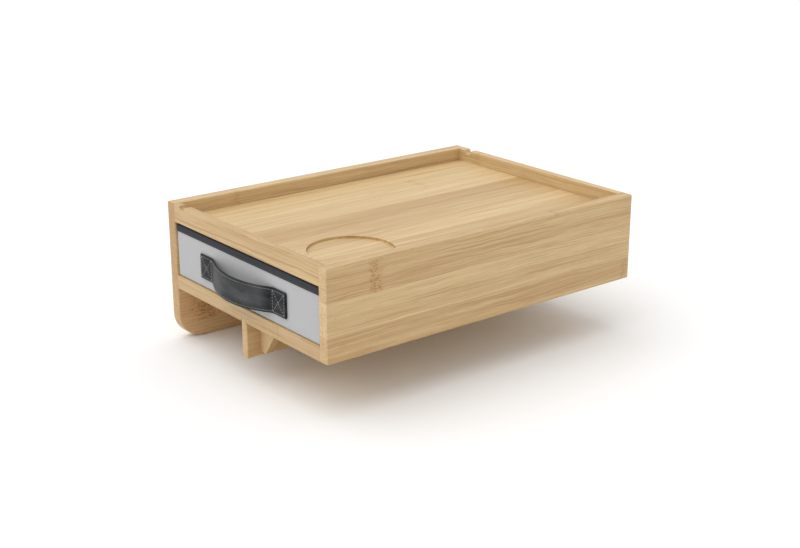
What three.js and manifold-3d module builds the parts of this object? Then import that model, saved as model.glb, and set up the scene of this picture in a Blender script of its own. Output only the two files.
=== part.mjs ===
// Clip-on bedside shelf: a bamboo tray over a fabric drawer, with a slot below that sits on a bed rail.
// Millimetres. +Z is up, +Y runs from the drawer front to the back, +X from the clamp panel to the
// free side. The origin is the centre of the rail seat: the underside of the bottom board between
// the clamp panel and the clamp flange.
import * as THREE from 'three';
import { mergeVertices } from 'three/addons/utils/BufferGeometryUtils.js';
import Module from 'manifold-3d';

const wasm = await Module();
wasm.setup();

// ---- driving dimensions of the case ----
const slotWidth = 128;          // clamp panel to clamp flange
const clampPanelThick = 14;
const sidePanelThick = 12;
const caseWidth = 294;
const caseLength = 412;
const caseHeight = 96;          // bottom board's underside to the rim
const boardThick = 15;
const backPanelThick = 9;
const railThick = 9;
const railHeight = 20.5;
const trayThick = 5.5;
const trayHousing = 4;          // how far the tray board enters each side panel
const clampDrop = 61;           // clamp panel below the bottom board
const clampCornerRadius = 29;
const clampCornerSteps = 10;
const flangeThick = 9.5;
const flangeDrop = 39.5;
const flangeHousing = 3;        // groove in the bottom board
const gussetTop = 34;           // gusset width along the bottom board
const gussetFoot = 9;           // gusset width at its lower end
const gussetDrop = 35;
const gussetThick = 10;
const gussetSetback = 16.5;     // gussets from the front and the back of the case
const notchRadius = 5;          // cable notch in the front rail and the back panel
const notchFromPanel = 16;      // notch centre from the clamp panel's inner face
const notchSides = 24;
const cupRadius = 45;
const cupDepth = 2.5;
const cupFromSide = 60;         // cup recess centre from the side panel's inner face
const cupFromFront = 82;
const cupSides = 64;
const fitGap = 0.2;             // glue or sliding gap round a housed edge
const holeGap = 0.3;            // clearance round a dowel or a screw
const overcut = 1;              // how far a cutter runs past the face it opens
const weldDistance = 1e-4;      // points closer than this are one point

// ---- driving dimensions of the fasteners ----
const boardDowelRadius = 4;
const boardDowelLength = 29;
const thinDowelRadius = 2.5;
const thinDowelLength = 23;
const notchDowelLength = 20;    // shorter, because it ends beside the cable notch
const dowelInClampPanel = 9;
const dowelInSidePanel = 8;
const dowelSides = 12;
const boardDowelYs = [-165, -55, 55, 165];
const backDowelHeights = [32, 66];
const railDowelDrop = 1;        // rail dowels below the middle of the rail's free height
const screwLength = 36;
const screwRadius = 2;
const screwHeadRadius = 4;
const screwHeadDepth = 2.6;
const screwTipLength = 5;
const screwSunk = 0.3;          // head's cone below the board's top face
const screwRim = 0.12;          // flat rim above the head's cone
const screwSides = 16;
const flangeScrewYs = [-180, -60, 60, 180];
const gussetScrewInset = 11;    // gusset screws from the flange
const crossDepth = 1.4;         // cross recess in a screw head
const crossLong = 4.4;
const crossWide = 1.1;

// ---- driving dimensions of the drawer ----
const drawerSideGap = 1.3;      // drawer from each side panel
const drawerInset = 1.5;        // drawer front behind the case front
const drawerBackGap = 3;        // drawer from the back panel
const drawerLift = 0.4;         // drawer above the bottom board
const drawerTopGap = 2.5;       // top of the fabric below the tray board
const coverThick = 1;
const stiffenerThick = 2.4;
const liningThick = 0.8;
const layerGap = 0.2;
const bindingThick = 0.5;
const bindingDrop = 7.5;
const strapThick = 2;
const strapWidth = 27;
const strapBase = 26.5;         // lower edge of the strap above the case's underside
const strapLength = 160;
const strapTab = 25;            // sewn length at each end
const strapBow = 14.5;
const strapFullness = 0.8;      // 1 bows the strap as a sine, and less bows it fuller
const strapOffset = -2;         // middle of the strap from the middle of the drawer
const strapSteps = 20;
const strapGap = 0.3;

// ---- planes worked out from the dimensions ----
const left = -slotWidth / 2 - clampPanelThick;
const leftInner = -slotWidth / 2;
const right = left + caseWidth;
const rightInner = right - sidePanelThick;
const front = -caseLength / 2;
const back = caseLength / 2;
const backInner = back - backPanelThick;
const railBack = front + railThick;
const trayBottom = caseHeight - railHeight;
const trayTop = trayBottom + trayThick;
const flangeLeft = slotWidth / 2;
const flangeRight = flangeLeft + flangeThick;
const flangeMiddle = (flangeLeft + flangeRight) / 2;
const notchX = leftInner + notchFromPanel;
const cupX = rightInner - cupFromSide;
const cupY = front + cupFromFront;

// ---- materials ----
const bamboo = new THREE.MeshStandardMaterial({ color: 0xd9b27c, roughness: 0.55, metalness: 0 });
const dowelWood = new THREE.MeshStandardMaterial({ color: 0xd8bf92, roughness: 0.8, metalness: 0 });
const steel = new THREE.MeshStandardMaterial({ color: 0xb9bcc0, roughness: 0.35, metalness: 1 });
const greyFabric = new THREE.MeshStandardMaterial({ color: 0xbdbdc0, roughness: 0.95, metalness: 0 });
const liningFabric = new THREE.MeshStandardMaterial({ color: 0xa9a9ac, roughness: 0.95, metalness: 0 });
const darkTape = new THREE.MeshStandardMaterial({ color: 0x45454b, roughness: 0.9, metalness: 0 });
const hardboard = new THREE.MeshStandardMaterial({ color: 0x8c7350, roughness: 0.85, metalness: 0 });
const blackStrap = new THREE.MeshStandardMaterial({ color: 0x2f3338, roughness: 0.5, metalness: 0 });

const part = new THREE.Group();

// A closed three.js geometry as a solid that can be joined and cut.
function solidOf(geometry) {
  const bare = geometry.clone();
  bare.deleteAttribute('normal');
  bare.deleteAttribute('uv');
  const welded = mergeVertices(bare, weldDistance);
  const vertProperties = Float32Array.from(welded.attributes.position.array);
  const triVerts = Uint32Array.from(welded.index.array);
  return new wasm.Manifold(new wasm.Mesh({ numProp: 3, vertProperties, triVerts }));
}

// A solid back as a three.js geometry.
function geometryOf(solid) {
  const mesh = solid.getMesh();
  const geometry = new THREE.BufferGeometry();
  geometry.setAttribute('position', new THREE.BufferAttribute(mesh.vertProperties, 3));
  geometry.setIndex(new THREE.BufferAttribute(mesh.triVerts, 1));
  return geometry;
}

// A box between two corners.
function boxGeometry(low, high) {
  const size = high.map((value, axis) => value - low[axis]);
  const middle = high.map((value, axis) => (value + low[axis]) / 2);
  return new THREE.BoxGeometry(...size).translate(...middle);
}

function boxSolid(low, high) {
  return solidOf(boxGeometry(low, high));
}

// A cylinder along X, Y or Z, centred on a point.
function rodGeometry(axis, radius, length, centre, sides) {
  const rod = new THREE.CylinderGeometry(radius, radius, length, sides);
  if (axis === 'x') rod.rotateZ(Math.PI / 2);
  if (axis === 'z') rod.rotateX(Math.PI / 2);
  return rod.translate(...centre);
}

function rodSolid(axis, radius, length, centre, sides) {
  return solidOf(rodGeometry(axis, radius, length, centre, sides));
}

function cutAll(solid, cutters) {
  return cutters.reduce((rest, cutter) => rest.subtract(cutter), solid);
}

function addPiece(name, geometry, material) {
  const mesh = new THREE.Mesh(geometry, material);
  mesh.name = name;
  part.add(mesh);
}

// ---- dowels: rods along X, from a side panel into a board's end ----
const dowels = [];

// A row of dowels in a panel's inner face, at given Y and Z, pointing inwards from it.
function addDowelRow(name, face, inward, places, radius, length, inPanel) {
  places.forEach(([y, z], index) => {
    const x = face + inward * (length / 2 - inPanel);
    dowels.push({ name: `${name}_${index + 1}`, radius, length, centre: [x, y, z] });
  });
}

const boardDowelPlaces = boardDowelYs.map((y) => [y, boardThick / 2]);
const backDowelPlaces = backDowelHeights.map((z) => [(back + backInner) / 2, z]);
const railDowelPlaces = [[front + railThick / 2, (trayTop + caseHeight) / 2 - railDowelDrop]];

addDowelRow('board_dowel_left', leftInner, 1, boardDowelPlaces,
  boardDowelRadius, boardDowelLength, dowelInClampPanel);
addDowelRow('board_dowel_right', rightInner, -1, boardDowelPlaces,
  boardDowelRadius, boardDowelLength, dowelInSidePanel);
addDowelRow('back_dowel_left', leftInner, 1, backDowelPlaces,
  thinDowelRadius, thinDowelLength, dowelInSidePanel);
addDowelRow('back_dowel_right', rightInner, -1, backDowelPlaces,
  thinDowelRadius, thinDowelLength, dowelInSidePanel);
addDowelRow('rail_dowel_left', leftInner, 1, railDowelPlaces,
  thinDowelRadius, notchDowelLength, dowelInSidePanel);
addDowelRow('rail_dowel_right', rightInner, -1, railDowelPlaces,
  thinDowelRadius, thinDowelLength, dowelInSidePanel);

// The holes of the dowels whose names start with one of the given words.
function dowelHoles(...starts) {
  return dowels
    .filter((dowel) => starts.some((start) => dowel.name.startsWith(start)))
    .map((dowel) => rodSolid('x', dowel.radius + holeGap, dowel.length + 2 * holeGap,
      dowel.centre, dowelSides));
}

// ---- countersunk screws down through the bottom board into the flange and the gussets ----
const screwTop = boardThick - screwSunk;
const gussetScrewX = flangeRight + gussetScrewInset;
const gussetYs = {
  front: front + gussetSetback,
  rear: back - gussetSetback - gussetThick,
};
const screws = [
  ...flangeScrewYs.map((y, index) => ({ name: `flange_screw_${index + 1}`, x: flangeMiddle, y })),
  { name: 'gusset_screw_front', x: gussetScrewX, y: gussetYs.front + gussetThick / 2 },
  { name: 'gusset_screw_rear', x: gussetScrewX, y: gussetYs.rear + gussetThick / 2 },
];

// The turned outline of a screw, or of its hole when grown by a clearance. The top of a screw is
// its flat rim, and the top of a hole runs out past the board's face.
function screwGeometry(x, y, grow) {
  const top = grow > 0 ? screwSunk + overcut : screwRim;
  const outline = [
    new THREE.Vector2(0, -screwLength - grow),
    new THREE.Vector2(screwRadius + grow, -screwLength + screwTipLength),
    new THREE.Vector2(screwRadius + grow, -screwHeadDepth - grow),
    new THREE.Vector2(screwHeadRadius + grow, 0),
    new THREE.Vector2(screwHeadRadius + grow, top),
    new THREE.Vector2(0, top),
  ];
  const lathe = new THREE.LatheGeometry(outline, screwSides);
  return lathe.rotateX(Math.PI / 2).translate(x, y, screwTop);
}

function screwHoles() {
  return screws.map((screw) => solidOf(screwGeometry(screw.x, screw.y, holeGap)));
}

function crossHeadScrew({ x, y }) {
  const recess = [[crossLong, crossWide], [crossWide, crossLong]].map(([sizeX, sizeY]) => boxSolid(
    [x - sizeX / 2, y - sizeY / 2, screwTop - crossDepth],
    [x + sizeX / 2, y + sizeY / 2, screwTop + overcut],
  ));
  return geometryOf(cutAll(solidOf(screwGeometry(x, y, 0)), recess));
}

// ---- clamp panel: one board from the rim to below the bed rail, lower corners rounded ----
function clampPanel() {
  const outline = new THREE.Shape();
  outline.moveTo(front, caseHeight);
  outline.lineTo(front, -clampDrop + clampCornerRadius);
  outline.absarc(front + clampCornerRadius, -clampDrop + clampCornerRadius, clampCornerRadius,
    Math.PI, 1.5 * Math.PI, false);
  outline.lineTo(back - clampCornerRadius, -clampDrop);
  outline.absarc(back - clampCornerRadius, -clampDrop + clampCornerRadius, clampCornerRadius,
    -Math.PI / 2, 0, false);
  outline.lineTo(back, caseHeight);
  outline.closePath();
  const blank = new THREE.ExtrudeGeometry(outline,
    { depth: clampPanelThick, bevelEnabled: false, curveSegments: clampCornerSteps });
  // The outline is drawn in Y and Z, and the board's thickness runs along X.
  blank.applyMatrix4(new THREE.Matrix4().set(0, 0, 1, left, 1, 0, 0, 0, 0, 1, 0, 0, 0, 0, 0, 1));
  const housing = boxSolid([leftInner - trayHousing - fitGap, railBack - fitGap, trayBottom - fitGap],
    [leftInner + overcut, backInner + fitGap, trayTop + fitGap]);
  const holes = dowelHoles('board_dowel_left', 'back_dowel_left', 'rail_dowel_left');
  return geometryOf(cutAll(solidOf(blank), [housing, ...holes]));
}

function sidePanel() {
  const blank = boxSolid([rightInner, front, 0], [right, back, caseHeight]);
  const housing = boxSolid([rightInner - overcut, railBack - fitGap, trayBottom - fitGap],
    [rightInner + trayHousing + fitGap, backInner + fitGap, trayTop + fitGap]);
  const holes = dowelHoles('board_dowel_right', 'back_dowel_right', 'rail_dowel_right');
  return geometryOf(cutAll(blank, [housing, ...holes]));
}

function bottomBoard() {
  const blank = boxSolid([leftInner, front, 0], [rightInner, back, boardThick]);
  const groove = boxSolid([flangeLeft, front - overcut, -overcut],
    [flangeRight, back + overcut, flangeHousing]);
  return geometryOf(cutAll(blank, [groove, ...dowelHoles('board_dowel'), ...screwHoles()]));
}

// A round-bottomed notch through the rim of a board, along Y.
function cableNotch(y) {
  return rodSolid('y', notchRadius, 2 * (backPanelThick + overcut), [notchX, y, caseHeight],
    notchSides);
}

function backPanel() {
  const blank = boxSolid([leftInner, backInner, boardThick], [rightInner, back, caseHeight]);
  return geometryOf(cutAll(blank, [cableNotch(back), ...dowelHoles('back_dowel')]));
}

function frontRail() {
  const blank = boxSolid([leftInner, front, trayBottom], [rightInner, railBack, caseHeight]);
  return geometryOf(cutAll(blank, [cableNotch(front), ...dowelHoles('rail_dowel')]));
}

function trayBoard() {
  const blank = boxSolid([leftInner - trayHousing, railBack, trayBottom],
    [rightInner + trayHousing, backInner, trayTop]);
  const recess = rodSolid('z', cupRadius, 2 * cupDepth, [cupX, cupY, trayTop], cupSides);
  return geometryOf(blank.subtract(recess));
}

// ---- clamp flange and its gussets under the bottom board ----
function clampFlange() {
  const blank = boxSolid([flangeLeft, front, -flangeDrop], [flangeRight, back, flangeHousing]);
  return geometryOf(cutAll(blank, screwHoles()));
}

function gusset(y) {
  const outline = new THREE.Shape();
  outline.moveTo(flangeRight, 0);
  outline.lineTo(flangeRight, -gussetDrop);
  outline.lineTo(flangeRight + gussetFoot, -gussetDrop);
  outline.lineTo(flangeRight + gussetTop, 0);
  outline.closePath();
  const plate = new THREE.ExtrudeGeometry(outline, { depth: gussetThick, bevelEnabled: false });
  plate.rotateX(Math.PI / 2).translate(0, y + gussetThick, 0);
  return geometryOf(cutAll(solidOf(plate), screwHoles()));
}

// ---- drawer: fabric cover, hardboard stiffeners, lining, sewn rim binding and strap ----
const cover = {
  low: [leftInner + drawerSideGap, front + drawerInset, boardThick + drawerLift],
  high: [rightInner - drawerSideGap, backInner - drawerBackGap, trayBottom - drawerTopGap],
};

// The drawer's box moved inwards by the thickness of the layers outside it. The top stays.
function inset(amount) {
  const [lowX, lowY, lowZ] = cover.low;
  const [highX, highY, highZ] = cover.high;
  return {
    low: [lowX + amount, lowY + amount, lowZ + amount],
    high: [highX - amount, highY - amount, highZ],
  };
}

const stiffenerInset = coverThick + layerGap;
const liningInset = stiffenerInset + stiffenerThick + layerGap;
const wallThick = liningInset + liningThick;

// An open-topped fabric box from one inset to another.
function openBox(outerInset, thickness) {
  const outer = inset(outerInset);
  const inner = inset(outerInset + thickness);
  const hollow = boxSolid(inner.low, [inner.high[0], inner.high[1], inner.high[2] + overcut]);
  return geometryOf(boxSolid(outer.low, outer.high).subtract(hollow));
}

// The boards between cover and lining. The sides stand between the front and the back board.
function stiffeners() {
  const outer = inset(stiffenerInset);
  const inner = inset(stiffenerInset + stiffenerThick);
  const wallBase = inner.low[2] + layerGap;
  const wallTop = outer.high[2] - layerGap;
  const sideFront = inner.low[1] + layerGap;
  const sideBack = inner.high[1] - layerGap;
  return {
    stiffener_base: boxGeometry(outer.low, [outer.high[0], outer.high[1], inner.low[2]]),
    stiffener_front: boxGeometry([outer.low[0], outer.low[1], wallBase],
      [outer.high[0], inner.low[1], wallTop]),
    stiffener_back: boxGeometry([outer.low[0], inner.high[1], wallBase],
      [outer.high[0], outer.high[1], wallTop]),
    stiffener_left: boxGeometry([outer.low[0], sideFront, wallBase],
      [inner.low[0], sideBack, wallTop]),
    stiffener_right: boxGeometry([inner.high[0], sideFront, wallBase],
      [outer.high[0], sideBack, wallTop]),
  };
}

// Tape folded over the top edge of the walls, with a skirt outside and inside.
function rimBinding() {
  const outer = inset(-layerGap - bindingThick);
  const pocketOuter = inset(-layerGap);
  const pocketInner = inset(wallThick + layerGap);
  const inner = inset(wallThick + layerGap + bindingThick);
  const top = cover.high[2] + layerGap + bindingThick;
  const foot = top - bindingDrop;
  const block = boxSolid([outer.low[0], outer.low[1], foot], [outer.high[0], outer.high[1], top]);
  const mouth = boxSolid([inner.low[0], inner.low[1], foot - overcut],
    [inner.high[0], inner.high[1], top + overcut]);
  const pocketTop = cover.high[2] + layerGap;
  const pocket = boxSolid([pocketOuter.low[0], pocketOuter.low[1], foot - overcut],
    [pocketOuter.high[0], pocketOuter.high[1], pocketTop]);
  const pocketCore = boxSolid([pocketInner.low[0], pocketInner.low[1], foot - 2 * overcut],
    [pocketInner.high[0], pocketInner.high[1], pocketTop + overcut]);
  return geometryOf(block.subtract(mouth).subtract(pocket.subtract(pocketCore)));
}

// A strap sewn flat at both ends, bowed outwards between them.
function handleStrap() {
  const middleX = (leftInner + rightInner) / 2 + strapOffset;
  const startX = middleX - strapLength / 2;
  const endX = middleX + strapLength / 2;
  const seatY = cover.low[1] - strapGap;
  const freeLength = strapLength - 2 * strapTab;
  const bowAt = (x) => {
    const share = THREE.MathUtils.clamp((x - startX - strapTab) / freeLength, 0, 1);
    return strapBow * Math.sin(Math.PI * share) ** strapFullness;
  };
  const stations = [startX];
  for (let step = 0; step <= strapSteps; step += 1) {
    stations.push(startX + strapTab + (freeLength * step) / strapSteps);
  }
  stations.push(endX);
  const outline = new THREE.Shape();
  outline.moveTo(startX, seatY);
  stations.slice(1).forEach((x) => outline.lineTo(x, seatY - bowAt(x)));
  stations.reverse().forEach((x) => outline.lineTo(x, seatY - strapThick - bowAt(x)));
  outline.closePath();
  const strap = new THREE.ExtrudeGeometry(outline, { depth: strapWidth, bevelEnabled: false });
  return strap.translate(0, 0, strapBase);
}

// ---- assembly ----
addPiece('left_clamp_panel', clampPanel(), bamboo);
addPiece('right_side_panel', sidePanel(), bamboo);
addPiece('bottom_board', bottomBoard(), bamboo);
addPiece('back_panel', backPanel(), bamboo);
addPiece('front_top_rail', frontRail(), bamboo);
addPiece('tray_board', trayBoard(), bamboo);
addPiece('inner_clamp_flange', clampFlange(), bamboo);
addPiece('gusset_front', gusset(gussetYs.front), bamboo);
addPiece('gusset_rear', gusset(gussetYs.rear), bamboo);

dowels.forEach((dowel) => {
  const rod = rodGeometry('x', dowel.radius, dowel.length, dowel.centre, dowelSides);
  addPiece(dowel.name, rod, dowelWood);
});

screws.forEach((screw) => addPiece(screw.name, crossHeadScrew(screw), steel));

addPiece('drawer_cover', openBox(0, coverThick), greyFabric);
addPiece('drawer_lining', openBox(liningInset, liningThick), liningFabric);
Object.entries(stiffeners()).forEach(([name, board]) => addPiece(name, board, hardboard));
addPiece('rim_binding', rimBinding(), darkTape);
addPiece('handle_strap', handleStrap(), blackStrap);

export default part;
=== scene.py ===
import math

import bmesh
import bpy
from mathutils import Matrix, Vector, noise


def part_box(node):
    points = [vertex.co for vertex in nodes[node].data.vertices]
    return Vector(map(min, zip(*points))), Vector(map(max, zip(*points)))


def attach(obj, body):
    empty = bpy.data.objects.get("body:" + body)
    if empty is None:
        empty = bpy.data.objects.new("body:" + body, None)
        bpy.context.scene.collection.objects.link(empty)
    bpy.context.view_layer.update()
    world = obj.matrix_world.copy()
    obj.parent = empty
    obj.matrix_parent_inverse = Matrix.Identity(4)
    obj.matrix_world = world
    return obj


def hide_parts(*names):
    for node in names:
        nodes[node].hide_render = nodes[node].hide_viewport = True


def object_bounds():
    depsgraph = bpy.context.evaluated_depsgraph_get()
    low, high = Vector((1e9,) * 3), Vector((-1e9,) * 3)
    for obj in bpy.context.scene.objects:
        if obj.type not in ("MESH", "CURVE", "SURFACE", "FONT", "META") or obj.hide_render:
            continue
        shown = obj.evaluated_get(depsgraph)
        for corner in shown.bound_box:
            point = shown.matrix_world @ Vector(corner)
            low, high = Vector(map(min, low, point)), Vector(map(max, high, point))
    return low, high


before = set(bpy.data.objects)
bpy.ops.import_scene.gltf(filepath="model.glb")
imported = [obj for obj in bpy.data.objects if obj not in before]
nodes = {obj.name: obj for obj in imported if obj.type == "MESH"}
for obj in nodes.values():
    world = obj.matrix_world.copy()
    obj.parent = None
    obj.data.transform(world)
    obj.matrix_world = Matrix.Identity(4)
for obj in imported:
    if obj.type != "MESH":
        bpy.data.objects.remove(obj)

cad_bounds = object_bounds()
scene = bpy.context.scene
scene.view_settings.view_transform = "Standard"

MM = 0.001

# ---- camera: its place in metres, its angles in degrees, its lens and sensor in millimetres ----
CAMERA_PLACE = (1.2033, -0.9007, 0.5053)
CAMERA_AZIMUTH = 51.62
CAMERA_ELEVATION = 18.94
CAMERA_LENS = 62.2
CAMERA_SENSOR = 36

camera_data = bpy.data.cameras.new("camera")
camera_data.sensor_width = CAMERA_SENSOR
camera_data.lens = CAMERA_LENS
camera = bpy.data.objects.new("camera", camera_data)
camera.location = CAMERA_PLACE
camera.rotation_euler = (math.radians(90 - CAMERA_ELEVATION), 0, math.radians(CAMERA_AZIMUTH))
scene.collection.objects.link(camera)
scene.camera = camera


# ---- materials ----
def colour(red, green, blue):
    """A colour as it looks on a screen, 0 to 255, as the linear colour that a shader takes: the
    sRGB curve."""
    def linear(value):
        share = value / 255
        return share / 12.92 if share <= 0.04045 else ((share + 0.055) / 1.055) ** 2.4
    return (linear(red), linear(green), linear(blue), 1)


class Surface:
    """A material whose node tree is built one short call at a time."""

    def __init__(self, name, constants):
        self.material = bpy.data.materials.new(name)
        self.material.use_nodes = True
        self.tree = self.material.node_tree
        self.shader = self.tree.nodes["Principled BSDF"]
        for socket, value in constants.items():
            self.shader.inputs[socket].default_value = value

    def feed(self, socket, value):
        if isinstance(value, bpy.types.NodeSocket):
            self.tree.links.new(value, socket)
        else:
            socket.default_value = value

    def add(self, kind, inputs, **settings):
        node = self.tree.nodes.new("ShaderNode" + kind)
        for name, value in settings.items():
            setattr(node, name, value)
        for key, value in inputs.items():
            self.feed(node.inputs[key], value)
        return node

    def math(self, operation, *values):
        return self.add("Math", dict(enumerate(values)), operation=operation).outputs[0]

    def fold(self, operation, values):
        result = values[0]
        for value in values[1:]:
            result = self.math(operation, result, value)
        return result

    def total(self, *values):
        return self.fold("ADD", values)

    def product(self, *values):
        return self.fold("MULTIPLY", values)

    def distance(self, value, centre):
        return self.math("ABSOLUTE", self.math("SUBTRACT", value, centre))

    def centred(self, value, amount):
        """A value from 0 to 1, moved to run from -amount/2 to amount/2."""
        return self.product(self.math("SUBTRACT", value, 0.5), amount)

    def clamp(self, value):
        return self.add("Clamp", {0: value}).outputs[0]

    def step(self, value, low, high):
        """0 up to low, 1 from high on, smooth between them. Low may be the larger one."""
        inputs = {"Value": value, "From Min": low, "From Max": high}
        return self.add("MapRange", inputs, interpolation_type="SMOOTHSTEP").outputs[0]

    def mix(self, factor, first, second):
        node = self.add("Mix", {0: factor, 6: first, 7: second}, data_type="RGBA")
        return node.outputs[2]

    def place(self):
        """The object's own x, y and z, in metres."""
        position = self.add("TexCoord", {}).outputs["Object"]
        return self.add("SeparateXYZ", {0: position}).outputs[:3]

    def facing(self):
        """The x, y and z of the direction that the surface looks in."""
        normal = self.add("TexCoord", {}).outputs["Normal"]
        return self.add("SeparateXYZ", {0: normal}).outputs[:3]

    def join(self, x, y, z):
        return self.add("CombineXYZ", {0: x, 1: y, 2: z}).outputs[0]

    def stretched(self, parts, scales, shift=0.0, detail=2.0, roughness=0.5):
        """Noise with a scale of its own along each axis, in 1/m, moved by shift along the last one."""
        scaled = [self.product(part, scale) for part, scale in zip(parts, scales)]
        scaled[2] = self.math("ADD", scaled[2], shift)
        inputs = {"Vector": self.join(*scaled), "Scale": 1.0, "Detail": detail, "Roughness": roughness}
        return self.add("TexNoise", inputs).outputs[0]

    def white(self, value):
        return self.add("TexWhiteNoise", {"W": value}, noise_dimensions="1D").outputs[0]

    def bump(self, height, distance, strength):
        inputs = {"Height": height, "Distance": distance, "Strength": strength}
        self.feed(self.shader.inputs["Normal"], self.add("Bump", inputs).outputs[0])

    def finish(self, base_colour, roughness):
        self.feed(self.shader.inputs["Base Color"], base_colour)
        self.feed(self.shader.inputs["Roughness"], roughness)
        return self.material


LAMELLA = 35 * MM            # width of one glued bamboo strip
LAMELLA_PHASE = 0.24         # keeps a glue line just clear of the rim of the upright boards
LAMELLA_APART = 40.0         # how far apart two lamellae can lie in the same noise
GLUE_LINE = (0.488, 0.499)   # where a glue line starts and ends, in lamellae from a middle
BAMBOO_LIGHT = colour(220, 193, 145)
BAMBOO_DARK = colour(180, 143, 94)
BAMBOO_FIBRE = colour(150, 112, 70)
BAMBOO_KNUCKLE = colour(158, 108, 46)
BAMBOO_WARM = colour(205, 128, 70)

# Scales of the bamboo's noises along the grain, across it and through the board, in 1/m.
DRIFT = (7.0, 30.0, 30.0)
WAVER = (48.0, 90.0, 90.0)
STREAKS = (3.0, 260.0, 260.0)
FIBRES = (20.0, 1200.0, 1200.0)
PORES = (45.0, 1700.0, 1700.0)
BROAD = (2.0, 46.0, 46.0)
LINES = (5.0, 520.0, 520.0)
FRAY = (130.0, 330.0, 330.0)
DRIFT_REACH = 7 * MM         # how far the fibres bend slowly, and quickly, across the grain
WAVER_REACH = 2.2 * MM

# What a board's seed is multiplied by, so that its noises differ from the other boards'.
STRIP_SEED, DRIFT_SEED, WAVER_SEED, FRAY_SEED = 7.31, 3.7, 2.3, 1.9

KNUCKLE_SOFT = 0.5 * MM      # how softly a knuckle ends at its lamella's edges
KNUCKLE_FRAY = 2.4           # how raggedly it ends along the grain, in halves of its length
KNUCKLE_BEND = 1.8 * MM      # how far its dashes bend aside at its ends
KNUCKLE_WANDER = 3 * MM      # how far they wander everywhere
KNUCKLE_GROUND = 0.08        # how much of its colour lies between the dashes
KNUCKLE_DASHES = (330.0, 900.0, 3.0)    # noise scales along the grain and across it, and of the fray


def knuckle(surface, along, across, fray, centre, low, high, half, strength):
    """The short dark dashes where a bamboo culm had a joint, across one lamella: the centre along
    the grain, the two edges across it, half the length along it, and the strength."""
    reach = surface.math("DIVIDE", surface.distance(along, centre), half)
    envelope = surface.step(surface.total(reach, surface.centred(fray, KNUCKLE_FRAY)), 1.0, 0.35)
    above_low = surface.step(across, low - KNUCKLE_SOFT, low + KNUCKLE_SOFT)
    below_high = surface.step(across, high + KNUCKLE_SOFT, high - KNUCKLE_SOFT)
    wander = surface.centred(fray, KNUCKLE_WANDER)
    bent = surface.total(across, surface.product(reach, KNUCKLE_BEND), wander)
    vessels = surface.stretched((along, bent, fray), KNUCKLE_DASHES, roughness=0.6)
    dashes = surface.step(vessels, 0.42, 0.66)
    dashed = surface.math("MULTIPLY_ADD", dashes, 1 - KNUCKLE_GROUND, KNUCKLE_GROUND)
    return surface.product(envelope, above_low, below_high, dashed, strength)


def bamboo(name, grain, seed, tone=0.0, end=0.2, phase=LAMELLA_PHASE, tones=None, knuckles=(),
           face_warmth=None, face_knuckles=()):
    """Laminated bamboo. grain names the axes along the fibres, across the lamellae and through. end
    darkens the faces that cut the fibres; on the gussets that darkening is painted shade. tones gives
    lamellae a shade of their own by number, and on the left clamp panel it is partly painted light. What
    starts with face is only on the face that looks along the axis through the board."""
    surface = Surface(name, {"Coat Weight": 0.12, "Coat Roughness": 0.35, "Specular IOR Level": 0.4})
    place = dict(zip("XYZ", surface.place()))
    facing = dict(zip("XYZ", surface.facing()))
    along, across, through = (place[axis] for axis in grain)
    cut = surface.step(surface.math("ABSOLUTE", facing[grain[0]]), 0.35, 0.55)
    face = surface.step(facing[grain[2]], 0.5, 0.9)

    # Each lamella has a number, which gives it a shade and a stretch of the noises of its own.
    number = surface.math("MULTIPLY_ADD", across, 1 / LAMELLA, phase)
    index = surface.math("FLOOR", number)
    strip = surface.white(surface.math("ADD", index, seed * STRIP_SEED))
    apart = surface.product(strip, LAMELLA_APART)

    def in_lamella(wanted):
        return surface.math("COMPARE", index, float(wanted), 0.5)

    # Fibres that wander a little, in streaks of light and dark.
    drift = surface.stretched((along, across, through), DRIFT, seed * DRIFT_SEED)
    waver = surface.stretched((along, across, through), WAVER, seed * WAVER_SEED)
    wandering = surface.total(across, surface.centred(drift, DRIFT_REACH),
                              surface.centred(waver, WAVER_REACH))
    parts = (along, wandering, through)
    streaks = surface.stretched(parts, STREAKS, apart, detail=3.0, roughness=0.8)
    fibres = surface.stretched(parts, FIBRES, apart)
    pores = surface.step(surface.stretched(parts, PORES, apart), 0.58, 0.72)
    broad = surface.stretched(parts, BROAD, apart)
    lines = surface.step(surface.stretched(parts, LINES, apart, detail=1.0), 0.56, 0.70)
    own = surface.centred(strip, 0.20)
    for lamella, shift in (tones or {}).items():
        own = surface.math("MULTIPLY_ADD", in_lamella(lamella), shift, own)
    shade = surface.clamp(surface.total(
        0.42 + tone,
        own,
        surface.product(cut, end),
        surface.centred(streaks, 1.45),
        surface.centred(fibres, 0.9),
        surface.centred(broad, 0.6),
        surface.product(lines, 0.38),
    ))
    result = surface.mix(shade, BAMBOO_LIGHT, BAMBOO_DARK)
    result = surface.mix(surface.product(pores, 0.38), result, BAMBOO_FIBRE)
    for lamella, share in (face_warmth or {}).items():
        result = surface.mix(surface.product(in_lamella(lamella), face, share), result, BAMBOO_WARM)

    # Glue lines, then knuckles.
    glue = surface.step(surface.distance(surface.math("FRACT", number), 0.5), *GLUE_LINE)
    result = surface.mix(surface.product(glue, 0.32), result, BAMBOO_FIBRE)
    fray = surface.stretched(parts, FRAY, seed * FRAY_SEED, roughness=0.6)
    for spot in knuckles:
        result = surface.mix(knuckle(surface, along, across, fray, **spot), result, BAMBOO_KNUCKLE)
    for spot in face_knuckles:
        mark = surface.product(knuckle(surface, along, across, fray, **spot), face)
        result = surface.mix(mark, result, BAMBOO_KNUCKLE)
    surface.bump(surface.total(fibres, surface.product(streaks, 0.6)), 0.10 * MM, 0.5)
    return surface.finish(result, surface.math("MULTIPLY_ADD", fibres, 0.18, 0.36))


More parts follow.
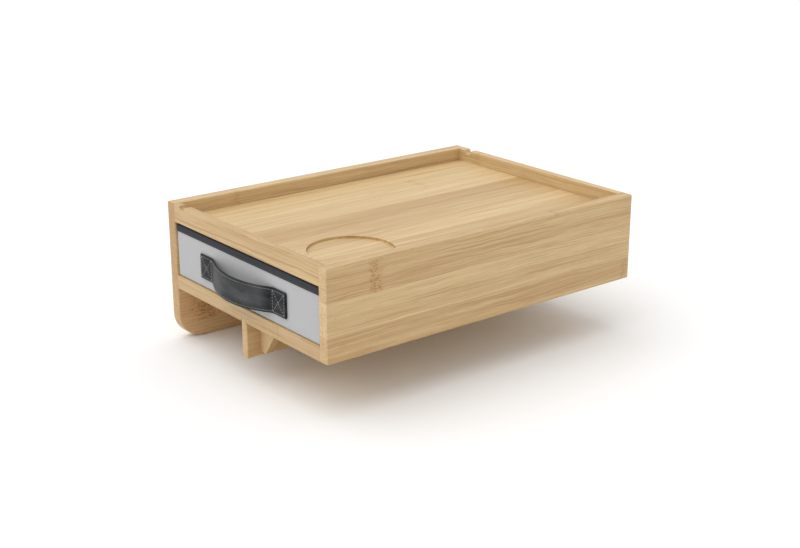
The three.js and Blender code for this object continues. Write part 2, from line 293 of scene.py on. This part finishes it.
def weave_place(surface):
    """Two coordinates that run along a cloth's threads on upright and on level faces, in metres."""
    x, y, z = surface.place()
    level = surface.step(surface.math("ABSOLUTE", surface.facing()[2]), 0.6, 0.8)
    upright = surface.math("SUBTRACT", 1.0, level)
    around = surface.math("MULTIPLY_ADD", y, upright, x)
    height = surface.math("MULTIPLY_ADD", y, level, z)
    return around, height


SLUB_LONG, SLUB_SHORT = 160.0, 2200.0    # noise scales along a thick place in a thread, and across
CLOUDS = 14.0                            # noise scale of slow changes of tone


def cloth(name, base, thread_colour, spacing, contrast, waves, sheen=0.2, twill=False):
    """Woven cloth: over and under threads, slubs, slow changes of tone, and gentle waves. spacing is
    the length of one over and under, and waves is how much higher they are than the slubs."""
    surface = Surface(name, {"Sheen Weight": sheen, "Sheen Roughness": 0.6, "Specular IOR Level": sheen})
    around, height = weave_place(surface)
    pitch = math.tau / spacing
    if twill:
        threads = surface.math("SINE", surface.product(surface.total(around, height), pitch))
    else:
        warp = surface.math("SINE", surface.product(around, pitch))
        weft = surface.math("SINE", surface.product(height, pitch))
        threads = surface.product(warp, weft)
    flat = (around, height, 0.0)
    slubs = surface.stretched(flat, (SLUB_LONG, SLUB_SHORT, 0.0))
    slubs_up = surface.stretched(flat, (SLUB_SHORT, SLUB_LONG, 0.0), 3.0)
    slow = surface.stretched(flat, (CLOUDS, CLOUDS, 0.0), 9.0, detail=3.0)
    shade = surface.clamp(surface.total(
        0.5,
        surface.product(threads, contrast),
        surface.centred(slubs, 0.7),
        surface.centred(slubs_up, 0.7),
        surface.centred(slow, 0.35),
    ))
    relief = surface.math("MULTIPLY_ADD", threads, 0.5, slubs)
    surface.bump(surface.math("MULTIPLY_ADD", slow, waves, relief), 0.12 * MM, 0.7)
    tone = surface.mix(shade, base, thread_colour)
    return surface.finish(tone, surface.math("MULTIPLY_ADD", slubs, 0.15, 0.8))


def leather(name, middle, free_half, half_width):
    """Dark imitation leather: fine grain, a dull gloss, and a painted highlight that makes the bow
    lighter, the most along its middle."""
    surface = Surface(name, {"Specular IOR Level": 0.15})
    x, y, z = surface.place()
    bow = surface.step(surface.distance(x, middle.x), free_half, free_half * 0.75)
    sheen_band = surface.step(surface.distance(z, middle.z), half_width, half_width * 0.3)
    # painted highlight: the bow's middle is lighter, and the middle of its width most of all, where a
    # sheen would lie
    painted_sheen = surface.product(bow, surface.math("MULTIPLY_ADD", sheen_band, 0.28, 0.24))
    inputs = {"Vector": surface.join(x, y, z), "Scale": 1500.0}
    grain = surface.add("TexVoronoi", inputs, feature="SMOOTH_F1").outputs["Distance"]
    creases = surface.stretched((x, y, z), (420.0, 420.0, 420.0), detail=4.0, roughness=0.65)
    slow = surface.stretched((x, y, z), (30.0, 30.0, 110.0), 5.0, detail=3.0)
    relief = surface.total(grain, surface.product(creases, 0.8), surface.product(slow, 9.0))
    surface.bump(relief, 0.12 * MM, 0.55)
    shade = surface.total(0.14, painted_sheen, surface.centred(creases, 0.6), surface.centred(slow, 1.3))
    tone = surface.mix(surface.clamp(shade), colour(17, 18, 20), colour(80, 81, 82))
    return surface.finish(tone, surface.math("MULTIPLY_ADD", creases, 0.22, 0.33))


THREAD_TWIST = 0.9 * MM      # length of one turn of a sewing thread's plies


def thread(name, base, light):
    """Twisted sewing thread."""
    surface = Surface(name, {"Sheen Weight": 0.2, "Specular IOR Level": 0.3})
    turn = surface.product(surface.total(*surface.place()), math.tau / THREAD_TWIST)
    ply = surface.math("MULTIPLY_ADD", surface.math("SINE", turn), 0.5, 0.5)
    surface.bump(ply, 0.05 * MM, 0.6)
    return surface.finish(surface.mix(ply, base, light), surface.math("MULTIPLY_ADD", ply, -0.15, 0.75))


def steel(name):
    """Zinc plated steel with small spots and stains."""
    surface = Surface(name, {"Metallic": 1.0})
    spots = surface.stretched(surface.place(), (900.0, 900.0, 900.0), detail=4.0)
    surface.bump(spots, 0.03 * MM, 0.5)
    tone = surface.mix(spots, colour(176, 178, 182), colour(214, 216, 220))
    return surface.finish(tone, surface.math("MULTIPLY_ADD", spots, 0.3, 0.22))


def pressed_board(name):
    """Raw brown hardboard: short fibres lying every way."""
    surface = Surface(name, {"Specular IOR Level": 0.2})
    parts = surface.place()
    fine = surface.stretched(parts, (900.0, 900.0, 900.0), detail=5.0, roughness=0.75)
    coarse = surface.stretched(parts, (120.0, 120.0, 120.0), 4.0, detail=3.0)
    shade = surface.math("MULTIPLY_ADD", coarse, 0.4, surface.product(fine, 0.6))
    surface.bump(fine, 0.15 * MM, 0.6)
    tone = surface.mix(shade, colour(104, 74, 46), colour(164, 128, 88))
    return surface.finish(tone, surface.math("MULTIPLY_ADD", fine, 0.15, 0.75))


def birch(name):
    """Pale dowel wood with fine grain along X."""
    surface = Surface(name, {"Specular IOR Level": 0.3})
    grain = surface.stretched(surface.place(), (30.0, 1100.0, 1100.0), 2.0, detail=3.0)
    surface.bump(grain, 0.12 * MM, 0.7)
    tone = surface.mix(grain, colour(232, 208, 166), colour(190, 156, 106))
    return surface.finish(tone, surface.math("MULTIPLY_ADD", grain, 0.2, 0.6))


# ---- pieces ----
def new_piece(name, mesh, material, body, stands_for=()):
    """A piece of the object that rides on a body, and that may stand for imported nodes."""
    piece = bpy.data.objects.new(name, mesh)
    scene.collection.objects.link(piece)
    mesh.materials.clear()
    mesh.materials.append(material)
    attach(piece, body)
    if stands_for:
        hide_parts(*stands_for)
    return piece


def mesh_of(name, points, faces):
    mesh = bpy.data.meshes.new(name)
    mesh.from_pydata([tuple(point) for point in points], [], faces)
    mesh.polygons.foreach_set("use_smooth", [True] * len(mesh.polygons))
    mesh.validate()
    return mesh


def even(first, last, count):
    """Numbers from first to last in count equal steps."""
    return [first + (last - first) * index / count for index in range(count + 1)]


# ---- boards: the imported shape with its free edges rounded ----
FREE_ROUND = 1.1 * MM
SEAM_ROUND = 0.45 * MM
BUTT_ROUND = 0.1 * MM
FLANGE_ROUND = 1.5 * FREE_ROUND
ROUND_SEGMENTS = 3
CONTACT = 0.5 * MM           # a board closer than this lies against an edge
MOSTLY = 0.6                 # an edge covered over more than this share of its length is covered
PARTLY = 0.15                # and one over more than this share is covered in part
SHARP = math.radians(30)     # an edge that turns more than this is a corner
FLAT = math.radians(0.5)     # faces that turn less than this are one
WELD = 0.002 * MM
EDGE_SAMPLES = 11
BOARDS = (
    "left_clamp_panel", "right_side_panel", "bottom_board", "back_panel", "front_top_rail",
    "tray_board", "inner_clamp_flange", "gusset_front", "gusset_rear",
)
BOARD_BOXES = {name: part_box(name) for name in BOARDS}


def touches(point, other):
    low, high = BOARD_BOXES[other]
    return all(low[i] - CONTACT < point[i] < high[i] + CONTACT for i in range(3))


def edge_round(edge, others):
    """The rounding of an edge: a free edge the most, an edge covered by other boards the least."""
    first, second = (vertex.co for vertex in edge.verts)
    samples = [first.lerp(second, (i + 0.5) / EDGE_SAMPLES) for i in range(EDGE_SAMPLES)]
    covered = sum(any(touches(point, other) for other in others) for point in samples)
    if covered > MOSTLY * EDGE_SAMPLES:
        return BUTT_ROUND
    if covered > PARTLY * EDGE_SAMPLES:
        return SEAM_ROUND
    return FREE_ROUND


def board(name, material, widest=FREE_ROUND):
    """A board as it is packed, with its edges rounded as sanding leaves them. widest is what a free
    edge gets, and the others follow it in proportion."""
    others = [other for other in BOARDS if other != name]
    work = bmesh.new()
    work.from_mesh(nodes[name].data)
    bmesh.ops.remove_doubles(work, verts=work.verts, dist=WELD)
    bmesh.ops.dissolve_limit(work, angle_limit=FLAT, verts=work.verts, edges=work.edges)
    weights = work.edges.layers.float.new("bevel_weight_edge")
    for edge in work.edges:
        corner = edge.calc_face_angle_signed(0)
        if corner > SHARP:
            edge[weights] = edge_round(edge, others) / FREE_ROUND
        elif corner < -SHARP:
            edge.smooth = False
    for face in work.faces:
        face.smooth = True
    mesh = bpy.data.meshes.new(name + "_wood")
    work.to_mesh(mesh)
    work.free()
    piece = new_piece(name + "_wood", mesh, material, "case", (name,))
    rounding = piece.modifiers.new("rounding", "BEVEL")
    rounding.limit_method = "WEIGHT"
    rounding.width = widest
    rounding.segments = ROUND_SEGMENTS
    normals = piece.modifiers.new("normals", "WEIGHTED_NORMAL")
    normals.keep_sharp = True


front = BOARD_BOXES["right_side_panel"][0].y

# tones lightens lamellae -2 and -1 all round, and face_warmth warms them on the inner face: painted light,
# standing in for light on that face's shaded stretch below the case
board("left_clamp_panel", bamboo(
    "bamboo_left", "YZX", 1, tone=-0.08, end=0.65, tones={-2: -0.32, -1: -0.14},
    knuckles=[
        dict(centre=front + 78 * MM, low=61 * MM, high=97 * MM, half=8 * MM, strength=0.34),
        dict(centre=front + 262 * MM, low=26 * MM, high=61 * MM, half=8 * MM, strength=0.45),
        dict(centre=front + 330 * MM, low=-44 * MM, high=-9 * MM, half=9 * MM, strength=0.5),
    ],
    face_warmth={-2: 0.25, -1: 0.34},
    face_knuckles=[
        dict(centre=front + 34 * MM, low=-43 * MM, high=-9 * MM, half=19 * MM, strength=0.95),
    ],
))
board("right_side_panel", bamboo(
    "bamboo_right", "YZX", 5, tone=0.16, end=-0.2, tones={0: 0.10, 1: -0.10, 2: 0.04},
    knuckles=[
        dict(centre=front + 58 * MM, low=61 * MM, high=94 * MM, half=10 * MM, strength=0.85),
        dict(centre=front + 8 * MM, low=34 * MM, high=52 * MM, half=14 * MM, strength=0.16),
        dict(centre=front + 297 * MM, low=92 * MM, high=98 * MM, half=4 * MM, strength=0.6),
        dict(centre=front + 404 * MM, low=3 * MM, high=24 * MM, half=5 * MM, strength=0.6),
    ],
))
board("bottom_board", bamboo(
    "bamboo_bottom", "XYZ", 3, phase=0.886,
    knuckles=[
        dict(centre=129 * MM, low=front - 1 * MM, high=front + 31 * MM, half=12 * MM, strength=0.26),
        dict(centre=-40 * MM, low=61 * MM, high=96 * MM, half=8 * MM, strength=0.45),
    ],
))
board("back_panel", bamboo(
    "bamboo_back", "XZY", 4,
    knuckles=[
        dict(centre=150 * MM, low=26 * MM, high=61 * MM, half=9 * MM, strength=0.45),
        dict(centre=-30 * MM, low=61 * MM, high=97 * MM, half=8 * MM, strength=0.3),
    ],
))
board("front_top_rail", bamboo(
    "bamboo_rail", "XZY", 6, tone=0.16, tones={2: 0.04},
    knuckles=[
        dict(centre=14 * MM, low=74 * MM, high=92 * MM, half=8 * MM, strength=0.15),
    ],
))
board("tray_board", bamboo(
    "bamboo_tray", "YXZ", 8, phase=0.771,
    tones={-1: -0.14, 0: -0.22, 1: -0.16, 2: 0.30, 3: 0.16, 4: -0.04},
    knuckles=[
        dict(centre=front + 45 * MM, low=44 * MM, high=78 * MM, half=12 * MM, strength=0.14),
        dict(centre=front + 290 * MM, low=-26 * MM, high=8 * MM, half=8 * MM, strength=0.35),
    ],
))
# tone=0.5 darkens the whole flange: painted shade for its side faces in the shade under the case
board("inner_clamp_flange", bamboo("bamboo_flange", "YZX", 9, tone=0.5, end=-0.3), FLANGE_ROUND)
# end=1.6 takes the gussets' sloped cut faces to the darkest bamboo: painted shade for faces that look down
# and away under the case
for gusset_name, gusset_seed in (("gusset_front", 11), ("gusset_rear", 12)):
    board(gusset_name, bamboo("bamboo_" + gusset_name, "ZXY", gusset_seed, tone=-0.05, end=1.6))


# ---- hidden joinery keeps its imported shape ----
def dress(names, material):
    for name in names:
        mesh = nodes[name].data
        mesh.materials.clear()
        mesh.materials.append(material)


dress([name for name in nodes if "dowel" in name], birch("dowel_birch"))
dress([name for name in nodes if "screw" in name], steel("screw_zinc"))
dress([name for name in nodes if name.startswith("stiffener")], pressed_board("stiffener_hardboard"))

# ---- fabric drawer: rings round the box, one for each point of a wall's profile ----
CORNER_ROUND = 1.6 * MM
LEAST_ROUND = 0.6 * MM
CORNER_STEPS = 5
SIDE_STEP = 6 * MM
FLOOR_SHARES = (0.92, 0.8, 0.65, 0.5, 0.35, 0.2, 0.08)    # sizes of the rings across a box's floor
UP = Vector((0, 0, 1))


def ring(low, high, offset):
    """Points round an upright box grown by an offset, with their outward directions."""
    radius = max(CORNER_ROUND + offset, LEAST_ROUND)
    x_counts = round((high.x - low.x) / SIDE_STEP)
    y_counts = round((high.y - low.y) / SIDE_STEP)
    centres = [
        (high.x + offset - radius, high.y + offset - radius, 0, x_counts),
        (low.x - offset + radius, high.y + offset - radius, 90, y_counts),
        (low.x - offset + radius, low.y - offset + radius, 180, x_counts),
        (high.x + offset - radius, low.y - offset + radius, 270, y_counts),
    ]
    points = []
    for index, (x, y, start, count) in enumerate(centres):
        for degrees in even(start, start + 90, CORNER_STEPS):
            turn = math.radians(degrees)
            way = Vector((math.cos(turn), math.sin(turn), 0))
            points.append((Vector((x, y, 0)) + way * radius, way))
        here, way = points[-1]
        next_x, next_y = centres[(index + 1) % 4][:2]
        there = Vector((next_x, next_y, 0)) + way * radius
        for step in range(1, count):
            points.append((here.lerp(there, step / count), way))
    return points


def shell(profile, low, high, move, closed=False, floor=0.0):
    """Points and faces of a wall with a given profile of (offset, height), all round a box. A closed
    profile makes a tube; otherwise floor gives the height of the bottom that closes the first row."""
    rows = []
    for offset, height in profile:
        row = []
        for place, way in ring(low, high, offset):
            spot = Vector((place.x, place.y, height))
            row.append(spot + move(spot, way))
        rows.append(row)
    if not closed:
        middle = Vector(((low.x + high.x) / 2, (low.y + high.y) / 2, floor))
        outer = rows[0]
        for share in FLOOR_SHARES:
            row = []
            for spot in outer:
                level = middle.lerp(Vector((spot.x, spot.y, floor)), share)
                row.append(level + move(level, UP))
            rows.insert(0, row)
    points = [point for row in rows for point in row]
    size = len(rows[0])
    faces = []
    for index in range(len(rows) if closed else len(rows) - 1):
        this, that = index * size, (index + 1) % len(rows) * size
        for step in range(size):
            after = (step + 1) % size
            faces.append((this + step, this + after, that + after, that + step))
    if not closed:
        faces.append(tuple(range(size))[::-1])
    return points, faces


def ripple(amount, scale, shift):
    """A gentle unevenness of cloth along its own outward direction."""
    def move(spot, way):
        return way * (amount * noise.noise(spot * scale + Vector((shift, 0, 0))))
    return move


grey_cloth = cloth("grey_cloth", colour(186, 186, 187), colour(171, 171, 173),
                   spacing=0.9 * MM, contrast=0.3, waves=3.0)
lining_cloth = cloth("lining_cloth", colour(176, 176, 179), colour(150, 150, 154),
                     spacing=0.7 * MM, contrast=0.25, waves=22.0)
tape = cloth("tape_twill", colour(45, 47, 51), colour(62, 64, 69),
             spacing=1.3 * MM, contrast=0.3, waves=1.0, sheen=0.06, twill=True)
tape_thread = thread("tape_thread", colour(56, 58, 62), colour(92, 94, 99))
strap_thread = thread("strap_thread", colour(100, 102, 105), colour(154, 156, 159))

cover_low, cover_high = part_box("drawer_cover")
lining_low, lining_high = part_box("drawer_lining")
binding_low, binding_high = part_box("rim_binding")
strap_low, strap_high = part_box("handle_strap")

COVER_THICK = 0.6 * MM
COVER_ROUND = 2 * MM         # rounding of the lower edges
COVER_INSET = 0.12 * MM
COVER_SLACK = ((0.16 * MM, 22), (0.10 * MM, 60))    # (height, scale in 1/m) of its unevenness
LINING_THICK = 0.4 * MM
LINING_ROUND = 4 * MM
LINING_INSET = 0.8 * MM      # how far the lining lies inside the outside of its solid
ROUND_STEPS = 3
WALL_STEP = 4 * MM
RIM_GAP = 0.5 * MM           # the cloth ends this far below the top of its solid


def wall_profile(low, high, corner):
    """(offset, height) up a cloth wall: a rounded lower edge and an upright."""
    turns = even(0, math.pi / 2, ROUND_STEPS)
    edge = [(corner * math.sin(turn) - corner, low.z + corner - corner * math.cos(turn)) for turn in turns]
    start, end = low.z + corner, high.z - RIM_GAP
    upright = [(0, height) for height in even(start, end, round((end - start) / WALL_STEP))]
    return edge + upright[1:]


def cover_move(spot, way):
    """The cover lies a little inside the outside of its solid, and is uneven between its edges."""
    share = (spot.z - cover_low.z) / (cover_high.z - cover_low.z)
    slack = sum(amount * noise.noise(spot * scale) for amount, scale in COVER_SLACK)
    return way * (slack * math.sin(math.pi * share) - COVER_INSET)


def cloth_box(name, shape, material, node, thick):
    """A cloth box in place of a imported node, thickened inwards from its outer face."""
    piece = new_piece(name, mesh_of(name, *shape), material, "drawer", (node,))
    thickness = piece.modifiers.new("thickness", "SOLIDIFY")
    thickness.thickness = thick
    thickness.offset = -1
    return piece


cover_profile = wall_profile(cover_low, cover_high, COVER_ROUND)
cover_shape = shell(cover_profile, cover_low, cover_high, cover_move, floor=cover_low.z)
cover = cloth_box("drawer_cover_cloth", cover_shape, grey_cloth, "drawer_cover", COVER_THICK)

lining_profile = [(offset - LINING_INSET, min(height + LINING_INSET, lining_high.z - RIM_GAP))
                  for offset, height in wall_profile(lining_low, lining_high, LINING_ROUND)]
lining_ripple = ripple(amount=0.35 * MM, scale=26, shift=5)
lining_shape = shell(lining_profile, lining_low, lining_high, lining_ripple,
                     floor=lining_low.z + LINING_INSET)
lining = cloth_box("drawer_lining_cloth", lining_shape, lining_cloth, "drawer_lining",
                   LINING_THICK)

# Tape folded over the rim: outer skirt, rounded top, inner skirt, and back on its inside.
SKIRT = 0.7 * MM             # the tape's outer face in front of the cover
INNER_FACE = -5.3 * MM       # its inner face, past all the layers of the wall
TAPE_THICK = 0.5 * MM
FOLD = 1.2 * MM              # rounding over the rim
FOLD_STEPS = 4
HEM = 2.4 * MM               # height of the stitched stretch at the tape's lower edge
HEM_MIDDLE = 1.5 * MM        # height of one more row of points in it


def tape_profile():
    top, foot = binding_high.z, binding_low.z
    half = TAPE_THICK / 2
    quarter = even(0, math.pi / 2, FOLD_STEPS)
    outside = [(SKIRT, foot + half), (SKIRT, foot + HEM_MIDDLE), (SKIRT, foot + HEM),
               (SKIRT, (foot + top) / 2), (SKIRT, top - FOLD)]
    for turn in quarter[1:]:
        outside.append((SKIRT - FOLD + FOLD * math.cos(turn), top - FOLD + FOLD * math.sin(turn)))
    for turn in quarter:
        outside.append((INNER_FACE + FOLD - FOLD * math.sin(turn), top - FOLD + FOLD * math.cos(turn)))
    outside += [(INNER_FACE, foot + HEM), (INNER_FACE, foot + half)]
    inside = [(INNER_FACE + half, foot), (INNER_FACE + TAPE_THICK, foot + half),
              (INNER_FACE + TAPE_THICK, top - FOLD), (INNER_FACE + 2 * TAPE_THICK, top - TAPE_THICK),
              (SKIRT - 2 * TAPE_THICK, top - TAPE_THICK), (SKIRT - TAPE_THICK, top - FOLD),
              (SKIRT - TAPE_THICK, foot + half), (SKIRT - half, foot)]
    return outside + inside


tape_ripple = ripple(amount=0.12 * MM, scale=45, shift=2)
binding_shape = shell(tape_profile(), cover_low, cover_high, tape_ripple, closed=True)
binding = new_piece("rim_binding_tape", mesh_of("rim_binding_tape", *binding_shape), tape,
                    "drawer", ("rim_binding",))

# ---- stitches: short threads that dip into the cloth at both ends ----
STITCH_SIDES = 6
STITCH_RINGS = (0.0, 0.12, 0.35, 0.65, 0.88, 1.0)
STITCH_TIP = 0.45            # radius at a stitch's ends, as a share of the full one
STITCH_SUNK = 0.5            # how deep its ends lie, in radii
STITCH_ARCH = 0.9            # how far its middle rises from there, in radii


class Seam:
    """Stitches that are collected into one piece."""

    def __init__(self):
        self.points, self.faces = [], []

    def stitch(self, start, end, outward, radius):
        """Adds one closed thread from start to end, arched outward."""
        side = (end - start).cross(outward).normalized()
        base = len(self.points)
        for share in STITCH_RINGS:
            rise = math.sin(math.pi * share)
            swell = radius * (STITCH_TIP + (1 - STITCH_TIP) * rise ** 0.5)
            middle = start.lerp(end, share) + outward * (radius * (STITCH_ARCH * rise - STITCH_SUNK))
            for step in range(STITCH_SIDES):
                turn = math.tau * step / STITCH_SIDES
                across, out = swell * math.cos(turn), swell * math.sin(turn)
                self.points.append(middle + side * across + outward * out)
        for row in range(base, base + (len(STITCH_RINGS) - 1) * STITCH_SIDES, STITCH_SIDES):
            for step in range(STITCH_SIDES):
                a, b = row + step, row + (step + 1) % STITCH_SIDES
                self.faces.append((a, b, b + STITCH_SIDES, a + STITCH_SIDES))
        last = len(self.points) - STITCH_SIDES
        self.faces.append(tuple(range(base, base + STITCH_SIDES))[::-1])
        self.faces.append(tuple(range(last, last + STITCH_SIDES)))

    def sew(self, line, outward, length, gap, radius):
        """Lays stitches along a polyline. outward gives the surface's direction at a point."""
        lengths = [(b - a).length for a, b in zip(line, line[1:])]
        count = round(sum(lengths) / (length + gap))
        pitch = sum(lengths) / count

        def at(distance):
            for index, size in enumerate(lengths):
                if distance <= size or index == len(lengths) - 1:
                    return line[index].lerp(line[index + 1], min(distance / size, 1))
                distance -= size

        for index in range(count):
            start = at(index * pitch + gap / 2)
            end = at((index + 1) * pitch - gap / 2)
            self.stitch(start, end, outward((start + end) / 2), radius)

    def piece(self, name, material, slot):
        return new_piece(name, mesh_of(name, self.points, self.faces), material, "drawer")


def around_line(offset, height):
    """A closed line round the drawer's walls."""
    line = [Vector((place.x, place.y, height)) for place, way in ring(cover_low, cover_high, offset)]
    return line + line[:1]


def outward_from_box(sign):
    """The outward direction on an upright wall of the drawer, or the inward one where sign is -1."""
    middle = (cover_low + cover_high) / 2
    half = (cover_high - cover_low) / 2

    def outward(spot):
        x, y = (spot.x - middle.x), (spot.y - middle.y)
        if half.x - abs(x) < half.y - abs(y):
            return Vector((math.copysign(sign, x), 0, 0))
        return Vector((0, math.copysign(sign, y), 0))
    return outward


BINDING_SEAM = 1.6 * MM      # stitch line above the tape's lower edge
TAPE_STITCH = dict(length=2.4 * MM, gap=0.9 * MM, radius=0.22 * MM)
tape_seam = Seam()
for offset, sign in ((SKIRT, 1), (INNER_FACE, -1)):
    line = around_line(offset, binding_low.z + BINDING_SEAM)
    tape_seam.sew(line, outward_from_box(sign), **TAPE_STITCH)
binding_seam = tape_seam.piece("rim_binding_stitches", tape_thread, "dark_binding")

# ---- strap handle: two layers, topstitched, sewn down at both ends ----
STRAP_THICK = 2 * MM
STRAP_TAB = 25 * MM
STRAP_FULLNESS = 0.8         # 1 bows the strap as a sine, and less bows it fuller
STRAP_SAG = 1.3 * MM
STRAP_LEAN = 1.5 * MM        # how much further the lower edge stands out
STRAP_STEP = 1.5 * MM
BEND_REACH = 4 * MM          # the bow's kinks at the tabs are rounded this far each way
CREASE = 0.18 * MM           # height of the creases where the strap bends
CREASE_ALONG = 260           # their noise scale along the strap, in 1/m
CREASE_ACROSS = 2.5          # and across it, over half its width
EDGE_SEAM = 2.3 * MM         # stitch line in from the strap's edges
EDGE_RIM = 0.55 * MM         # rounding of each layer's edge
GROOVE_HALF = 0.7 * MM       # half the width of a stitch groove
GROOVE_SINK = 0.10           # depth of a groove and of a rounded edge, as a share of the thickness
END_ROUND = 0.5 * MM
END_THIN = 0.72              # thickness and width of the strap's cut ends, as shares of the full ones
END_NARROW = 0.9832
strap_middle = (strap_low + strap_high) / 2
strap_half = (strap_high.z - strap_low.z) / 2
strap_bow = strap_high.y - strap_low.y - STRAP_THICK
free_start = strap_low.x + STRAP_TAB
free_length = strap_high.x - strap_low.x - 2 * STRAP_TAB
dark_leather = leather("strap_leather_black", strap_middle, free_length / 2, strap_half)


def bow_share(x):
    """0 on the sewn tabs, rising to 1 in the middle of the free length."""
    share = min(max((x - free_start) / free_length, 0), 1)
    return math.sin(math.pi * share) ** STRAP_FULLNESS


def smooth_bow(x):
    """The bow, with its kinks at the tabs rounded over a few millimetres."""
    shifts = even(-BEND_REACH, BEND_REACH, 4)
    return sum(bow_share(x + shift) for shift in shifts) / len(shifts)


def strap_point(x, across, depth):
    """A point of the strap and the direction its face looks in there: across from -1 at the lower
    edge to 1 at the top one, depth out from its back face."""
    bow = smooth_bow(x)
    slope = (smooth_bow(x + 0.5 * MM) - smooth_bow(x - 0.5 * MM)) * strap_bow / MM
    way = Vector((-slope, -1, 0)).normalized()
    back = Vector((x, strap_high.y - strap_bow * bow, strap_middle.z + strap_half * across))
    swing = Vector((0, STRAP_LEAN * bow * across, -STRAP_SAG * bow))
    bending = bow * (1 - bow) * 4
    crease = CREASE * bending * noise.noise(Vector((x * CREASE_ALONG, across * CREASE_ACROSS, 1)))
    return back + swing + way * (depth + crease), way


def strap_section():
    """(across, depth) round the strap: two rounded layers with stitch grooves on both faces."""
    seam = 1 - EDGE_SEAM / strap_half
    rim = EDGE_RIM / strap_half
    groove = GROOVE_HALF / strap_half
    half = [(0.45, -0.03), (seam - groove, 0.0), (seam, GROOVE_SINK), (seam + groove, 0.0),
            (1 - rim, GROOVE_SINK)]
    face = [(-across, sink) for across, sink in reversed(half)] + [(0, -0.05)] + half
    back = [(across, sink * STRAP_THICK) for across, sink in face]
    front_side = [(across, STRAP_THICK * (1 - sink)) for across, sink in reversed(face)]
    edge = [(0.28, 0.0), (0.46, 0.0), (0.5, 0.35), (0.54, 0.0), (0.72, 0.0)]    # a dip between layers
    top_edge = [(1 - rim * dip, STRAP_THICK * depth) for depth, dip in edge]
    low_edge = [(-1 + rim * dip, STRAP_THICK * (1 - depth)) for depth, dip in edge]
    return back + top_edge + front_side + low_edge


def strap_mesh():
    section = strap_section()
    xs = even(strap_low.x, strap_high.x, round((strap_high.x - strap_low.x) / STRAP_STEP))
    xs.insert(1, xs[0] + END_ROUND)
    xs.insert(-1, xs[-1] - END_ROUND)
    points, faces = [], []
    for index, x in enumerate(xs):
        thin, narrow = (END_THIN, END_NARROW) if index in (0, len(xs) - 1) else (1, 1)
        for across, depth in section:
            level = STRAP_THICK / 2 + (depth - STRAP_THICK / 2) * thin
            points.append(strap_point(x, across * narrow, level)[0])
    size = len(section)
    for row in range(0, len(points) - size, size):
        for step in range(size):
            a, b = row + step, row + (step + 1) % size
            faces.append((a, b, b + size, a + size))
    faces.append(tuple(range(size))[::-1])
    faces.append(tuple(range(len(points) - size, len(points))))
    mesh = mesh_of("handle_strap_leather", points, faces)
    work = bmesh.new()
    work.from_mesh(mesh)
    bmesh.ops.recalc_face_normals(work, faces=work.faces)
    work.to_mesh(mesh)
    work.free()
    return mesh


new_piece("handle_strap_leather", strap_mesh(), dark_leather, "drawer", ("handle_strap",))

STITCH_DEPTH = 0.98 * STRAP_THICK    # the stitches lie on the strap's outer face
EDGE_THREAD = 0.27 * MM      # radius of the thread along the two long edges
BOX_THREAD = 0.42 * MM       # radius of the thread in the crossed boxes
LONG_PARTS, SHORT_PARTS, SLANT_PARTS = 160, 4, 12    # straight parts of each kind of stitch line
strap_seam = Seam()


def strap_outward(spot):
    return strap_point(spot.x, 0, 0)[1]


def sew_strap(x0, across0, x1, across1, parts, radius):
    """Stitches along the strap's outer face, from one x and place across it to another."""
    places = zip(even(x0, x1, parts), even(across0, across1, parts))
    line = [strap_point(x, across, STITCH_DEPTH)[0] for x, across in places]
    strap_seam.sew(line, strap_outward, length=2.3 * MM, gap=0.7 * MM, radius=radius)


seam_across = 1 - EDGE_SEAM / strap_half
for across in (-seam_across, seam_across):
    sew_strap(strap_low.x + EDGE_SEAM, across, strap_high.x - EDGE_SEAM, across, LONG_PARTS, EDGE_THREAD)
for outer, inner in ((strap_low.x + EDGE_SEAM, strap_low.x + STRAP_TAB - EDGE_SEAM),
                     (strap_high.x - EDGE_SEAM, strap_high.x - STRAP_TAB + EDGE_SEAM)):
    sew_strap(outer, -seam_across, outer, seam_across, SHORT_PARTS, BOX_THREAD)
    sew_strap(inner, -seam_across, inner, seam_across, SHORT_PARTS, BOX_THREAD)
    sew_strap(outer, -seam_across, inner, seam_across, SLANT_PARTS, BOX_THREAD)
    sew_strap(outer, seam_across, inner, -seam_across, SLANT_PARTS, BOX_THREAD)
strap_seam.piece("handle_strap_stitches", strap_thread, "strap_leather")


# ---- floor and lights ----
FLOOR_HALF = 12              # metres
FLOOR_GAP = 0.5 * MM         # below the lowest point of the object
SKY_STRENGTH = 0.78
SUN_FROM = (-0.15, -0.42, 1.0)
SUN_STRENGTH = 1.3
SUN_ANGLE = math.radians(75)


def pale(name):
    """A plain pale floor with faint, slow changes of tone."""
    surface = Surface(name, {"Specular IOR Level": 0.1})
    slow = surface.stretched(surface.place(), (3.0, 3.0, 3.0))
    return surface.finish(surface.mix(slow, colour(247, 247, 247), colour(252, 252, 252)), 0.9)


floor_z = cad_bounds[0].z - FLOOR_GAP
corners = ((-1, -1), (1, -1), (1, 1), (-1, 1))
floor_corners = [(x * FLOOR_HALF, y * FLOOR_HALF, floor_z) for x, y in corners]
floor_mesh = mesh_of("floor", floor_corners, [(0, 1, 2, 3)])
floor_mesh.materials.append(pale("floor_pale"))
floor = bpy.data.objects.new("floor", floor_mesh)
scene.collection.objects.link(floor)

world = bpy.data.worlds.new("studio")
world.use_nodes = True
background = world.node_tree.nodes["Background"]
background.inputs["Color"].default_value = (1, 1, 1, 1)
background.inputs["Strength"].default_value = SKY_STRENGTH
scene.world = world

sun_data = bpy.data.lights.new("overhead", "SUN")
sun_data.energy = SUN_STRENGTH
sun_data.angle = SUN_ANGLE
sun = bpy.data.objects.new("overhead", sun_data)
sun.rotation_euler = Vector(SUN_FROM).to_track_quat("Z", "Y").to_euler()
scene.collection.objects.link(sun)
